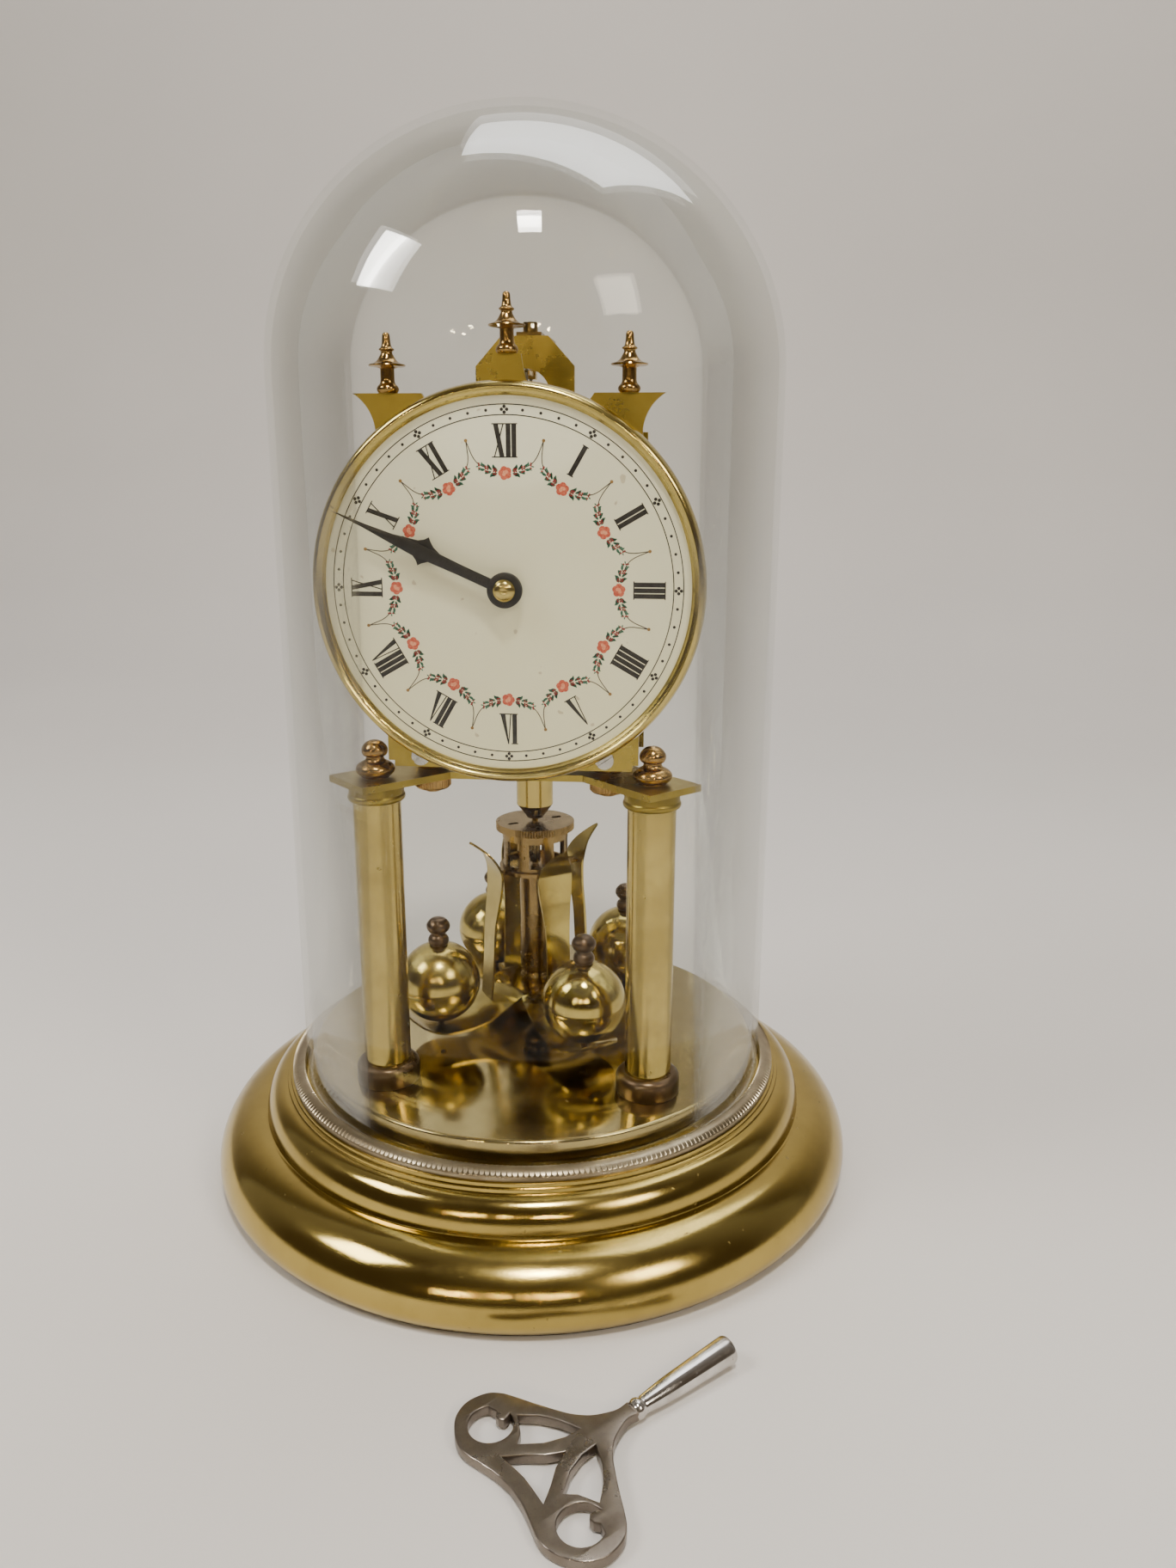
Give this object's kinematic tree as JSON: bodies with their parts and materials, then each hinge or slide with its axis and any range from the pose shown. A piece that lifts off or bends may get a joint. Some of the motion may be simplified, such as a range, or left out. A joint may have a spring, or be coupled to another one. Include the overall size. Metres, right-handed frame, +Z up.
{
  "type": "torsion pendulum clock",
  "caption": "Anniversary clock: torsion pendulum with weighted balls under a glass dome, round porcelain dial on two pillars over a round moulded base, with a winding key.",
  "frame": {"origin": "middle of the base's underside, on the table", "axes": "+Z up, the dial faces -Y, +X to the right seen from the front"},
  "size_m": [0.19, 0.2479, 0.2909],
  "materials": {
    "felt": "matt felt",
    "base_brass": "spun, lacquer worn and spotted",
    "gallery": "reeded, tarnished silver-brown",
    "mirror": "polished plate",
    "dome_glass": "clear blown glass",
    "foot_brass": "dark tarnished",
    "pillar_brass": "polished, lacquer specks",
    "nut_brass": "dark reddish, polished",
    "plate_brass": "satin mustard",
    "train_brass": "cut wheels",
    "steel": "polished steel",
    "blued": "black",
    "porcelain": "cream glazed dial",
    "bezel_brass": "bright polished",
    "pendulum_brass": "polished",
    "pendulum_dark": "tarnished",
    "key_nickel": "worn nickel plate"
  },
  "bodies": {
    "frame": {"base_felt": "felt", "base_shell": "base_brass", "gallery_ring": "gallery", "mirror_plate": "mirror", "pillar_feet": "foot_brass", "pillars": "pillar_brass", "pillar_collars": "pillar_brass", "pillar_rods": "steel", "base_nuts": "steel", "acorn_nuts": "nut_brass", "seat_plate": "plate_brass", "thumb_nuts": "nut_brass", "seat_studs": "nut_brass", "front_plate": "plate_brass", "back_plate": "plate_brass", "plate_posts": "plate_brass", "lower_posts": "plate_brass", "plate_screws": "steel", "frame_screws": "steel", "minute_stud": "steel", "dial": "porcelain", "bezel": "bezel_brass", "finials": "nut_brass", "suspension_bracket": "plate_brass", "hanger_screw": "pendulum_dark", "top_block": "train_brass", "suspension_strip": "steel", "guard_tube": "pillar_brass", "guard_cone": "foot_brass"},
    "dome": {"glass_dome": "dome_glass"},
    "key": {"winding_key": "key_nickel"},
    "centre": {"centre_wheel": "train_brass", "cannon_pinion": "steel", "minute_hand": "blued", "hand_nut": "bezel_brass"},
    "hour": {"hour_wheel": "train_brass", "hour_hand": "blued"},
    "minute_work": {"minute_wheel": "train_brass"},
    "second": {"second_wheel": "train_brass"},
    "first": {"first_wheel": "train_brass"},
    "barrel_body": {"barrel": "train_brass", "barrel_cover": "train_brass"},
    "third": {"third_wheel": "train_brass"},
    "escape": {"escape_wheel": "train_brass"},
    "anchor_body": {"anchor": "steel", "anchor_arbor": "steel", "anchor_pin": "steel"},
    "fork_body": {"fork": "train_brass"},
    "winding": {"winding_arbor": "steel", "ratchet_wheel": "train_brass"},
    "click_body": {"click": "steel"},
    "pendulum": {"pendulum_stem": "train_brass", "pendulum_cage": "pendulum_dark", "column": "pendulum_dark", "column_knob": "pendulum_dark", "flower": "pendulum_brass", "balls": "pendulum_brass", "ball_screws": "foot_brass", "swan_arms": "pendulum_brass"},
    "regulator": {"regulating_disc": "pendulum_dark"}
  },
  "joints": [
    {"name": "centre_turn", "type": "hinge", "parent": "frame", "child": "centre", "pos_m": [0, -0.02, 0.174], "axis": [0, 1, 0], "continuous": true},
    {"name": "hour_turn", "type": "hinge", "parent": "frame", "child": "hour", "pos_m": [0, -0.038, 0.174], "axis": [0, 1, 0], "continuous": true},
    {"name": "minute_work_turn", "type": "hinge", "parent": "frame", "child": "minute_work", "pos_m": [-0.00786, -0.037, 0.17951], "axis": [0, 1, 0], "continuous": true},
    {"name": "second_turn", "type": "hinge", "parent": "frame", "child": "second", "pos_m": [0.00702, -0.02, 0.16619], "axis": [0, 1, 0], "continuous": true},
    {"name": "first_turn", "type": "hinge", "parent": "frame", "child": "first", "pos_m": [0.00645, -0.02, 0.15465], "axis": [0, 1, 0], "continuous": true},
    {"name": "barrel_turn", "type": "hinge", "parent": "frame", "child": "barrel_body", "pos_m": [-0.01, -0.02, 0.1475], "axis": [0, 1, 0], "continuous": true},
    {"name": "third_turn", "type": "hinge", "parent": "frame", "child": "third", "pos_m": [-0.00563, -0.02, 0.18374], "axis": [0, 1, 0], "continuous": true},
    {"name": "escape_turn", "type": "hinge", "parent": "frame", "child": "escape", "pos_m": [0, -0.02, 0.192], "axis": [0, 1, 0], "continuous": true},
    {"name": "pendulum_swing", "type": "hinge", "parent": "frame", "child": "pendulum", "pos_m": [0, 0.006, 0.1], "axis": [0, 0, 1], "range_deg": [-150, 150], "stiffness_Nm_per_rad": 0.000033},
    {"name": "fork_swing", "type": "hinge", "parent": "frame", "child": "fork_body", "pos_m": [0, 0.006, 0.227], "axis": [0, 0, 1], "range_deg": [-10.6, 10.6]},
    {"name": "anchor_swing", "type": "hinge", "parent": "frame", "child": "anchor_body", "pos_m": [0, -0.02, 0.2018], "axis": [0, 1, 0], "range_deg": [-3.8, 3.8]},
    {"name": "winding_turn", "type": "hinge", "parent": "frame", "child": "winding", "pos_m": [-0.01, -0.005, 0.1475], "axis": [0, 1, 0], "continuous": true},
    {"name": "click_lift", "type": "hinge", "parent": "frame", "child": "click_body", "pos_m": [-0.0203, -0.005, 0.1537], "axis": [0, -1, 0], "range_deg": [0, 12], "stiffness_Nm_per_rad": 0.002, "springref_deg": -11.46},
    {"name": "regulator_turn", "type": "hinge", "parent": "pendulum", "child": "regulator", "pos_m": [0, 0.006, 0.1], "axis": [0, 0, 1], "range_deg": [-170, 170]},
    {"name": "dome_lift", "type": "slide", "parent": "frame", "child": "dome", "axis": [0, 0, 1], "range_m": [0, 0.3]},
    {"name": "key_lift", "type": "slide", "parent": "frame", "child": "key", "axis": [0, 0, 1], "range_m": [0, 0.05]}
  ],
  "couplings": [
    {"joint": "hour_turn", "follows": "centre_turn", "ratio": 0.083333},
    {"joint": "minute_work_turn", "follows": "centre_turn", "ratio": -0.33333},
    {"joint": "second_turn", "follows": "centre_turn", "ratio": -0.11111},
    {"joint": "first_turn", "follows": "centre_turn", "ratio": 0.011111},
    {"joint": "barrel_turn", "follows": "centre_turn", "ratio": -0.00092593},
    {"joint": "third_turn", "follows": "centre_turn", "ratio": -4},
    {"joint": "escape_turn", "follows": "centre_turn", "ratio": 12},
    {"joint": "fork_swing", "follows": "pendulum_swing", "ratio": 0.07},
    {"joint": "anchor_swing", "follows": "pendulum_swing", "ratio": 0.024}
  ]
}
